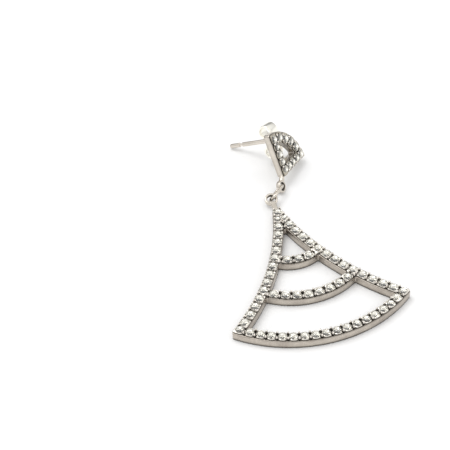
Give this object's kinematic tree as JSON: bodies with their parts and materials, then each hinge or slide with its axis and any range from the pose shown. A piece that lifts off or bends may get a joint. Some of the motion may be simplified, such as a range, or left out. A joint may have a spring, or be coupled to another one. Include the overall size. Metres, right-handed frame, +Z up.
{
  "type": "dangle earring",
  "caption": "Dangle earring: an open fan drop with curved crossbars, paved with clear stones, linked by a jump ring to a small paved fan stud with an ear post and butterfly clutch.",
  "frame": {"origin": "on the surface that the earring lies on, under the middle of its bounding box", "axes": "+Z up from the surface, +Y along the drop from its curved bottom bar to its apex and on to the stud, +X to the right when the drop is seen from its paved front with the apex up"},
  "size_m": [0.03, 0.0502, 0.0095],
  "materials": {
    "silver": "rhodium-plated silver, satin polish",
    "pave_stones": "clear round brilliants in bead-set pave, faceted and polished",
    "clutch_metal": "pale gold-toned plated strip, bright rolled"
  },
  "bodies": {
    "earring": {"drop_frame": "silver", "drop_stones": "pave_stones", "jump_ring": "silver", "stud_frame": "silver", "stud_stones": "pave_stones"},
    "clutch": {"clutch": "clutch_metal"}
  },
  "joints": [
    {"name": "clutch_slide", "type": "slide", "parent": "earring", "child": "clutch", "axis": [-0.6887, 0.5781, -0.4376], "range_m": [-0.0009, 0.0073]}
  ]
}
